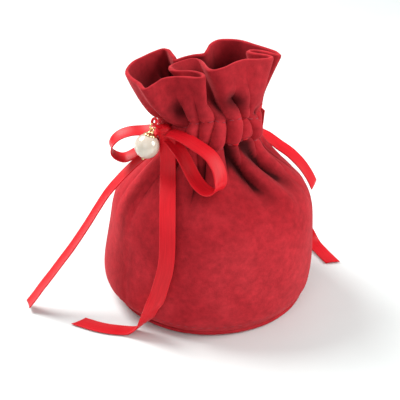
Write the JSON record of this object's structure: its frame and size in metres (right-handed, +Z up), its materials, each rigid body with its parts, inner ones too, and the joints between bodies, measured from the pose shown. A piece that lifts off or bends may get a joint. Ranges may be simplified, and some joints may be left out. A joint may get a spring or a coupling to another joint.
{
  "type": "drawstring gift pouch",
  "caption": "Round-bottomed velvet gift pouch with a gathered casing, a frilled mouth, satin drawstrings tied in a bow, and a hanging pearl charm.",
  "frame": {"origin": "centre of the base on the surface that the pouch stands on", "axes": "+Z up through the neck; the front drawstring leaves the casing at 218 degrees in plan, the rear one at 38 degrees"},
  "size_m": [0.1377, 0.0886, 0.1073],
  "materials": {
    "velvet": "crimson velvet, short pile",
    "satin": "red satin ribbon, soft gloss",
    "thread": "matching polyester thread",
    "lining": "plain dark red lining",
    "card": "grey-brown card",
    "gold": "pale gold plating, polished",
    "pearl": "imitation pearl, glossy with a soft lustre"
  },
  "bodies": {
    "pouch": {"front_panel": "velvet", "back_panel": "velvet", "base_disc": "velvet", "base_board": "card", "base_lining": "lining", "base_seam_stitches": "thread", "lower_casing_stitches": "thread", "upper_casing_stitches": "thread", "left_seam_stitches": "thread", "right_seam_stitches": "thread", "front_drawstring_run": "satin", "rear_drawstring_run": "satin"},
    "front_frill": {"front_frill": "velvet"},
    "back_frill": {"back_frill": "velvet"},
    "front_bow": {"front_bow_leads": "satin", "front_bow_knot": "satin", "bow_left_loop": "satin", "bow_right_loop": "satin", "bow_front_tail": "satin", "bow_side_tail": "satin", "charm_hanger": "satin"},
    "rear_tie": {"rear_leads": "satin", "rear_knot": "satin", "rear_short_tail": "satin", "rear_long_tail": "satin"},
    "jump_ring": {"jump_ring": "gold"},
    "charm_pin": {"pearl_pin": "gold", "bead_cap": "gold"},
    "pearl": {"pearl": "pearl"}
  },
  "joints": [
    {"name": "front_frill_flare", "type": "hinge", "parent": "pouch", "child": "front_frill", "pos_m": [0.01262, -0.01615, 0.0842], "axis": [0.788, 0.6157, 0], "range_deg": [0, 25]},
    {"name": "back_frill_flare", "type": "hinge", "parent": "pouch", "child": "back_frill", "pos_m": [-0.01262, 0.01615, 0.0842], "axis": [-0.788, -0.6157, 0], "range_deg": [0, 25]},
    {"name": "front_bow_pull", "type": "slide", "parent": "pouch", "child": "front_bow", "axis": [-0.788, -0.6157, 0], "range_m": [0, 0.0025]},
    {"name": "rear_tie_pull", "type": "slide", "parent": "pouch", "child": "rear_tie", "axis": [0.788, 0.6157, 0], "range_m": [0, 0.001]},
    {"name": "jump_ring_swing", "type": "hinge", "parent": "front_bow", "child": "jump_ring", "pos_m": [-0.02252, -0.01888, 0.0852], "axis": [-0.6157, 0.788, 0], "range_deg": [0, 30]},
    {"name": "charm_swing", "type": "hinge", "parent": "jump_ring", "child": "charm_pin", "pos_m": [-0.02271, -0.01903, 0.08459], "axis": [-0.6157, 0.788, 0], "range_deg": [0, 45]},
    {"name": "pearl_spin", "type": "hinge", "parent": "charm_pin", "child": "pearl", "pos_m": [-0.02512, -0.02091, 0.07704], "axis": [-0.2952, -0.2306, -0.9272], "continuous": true}
  ]
}
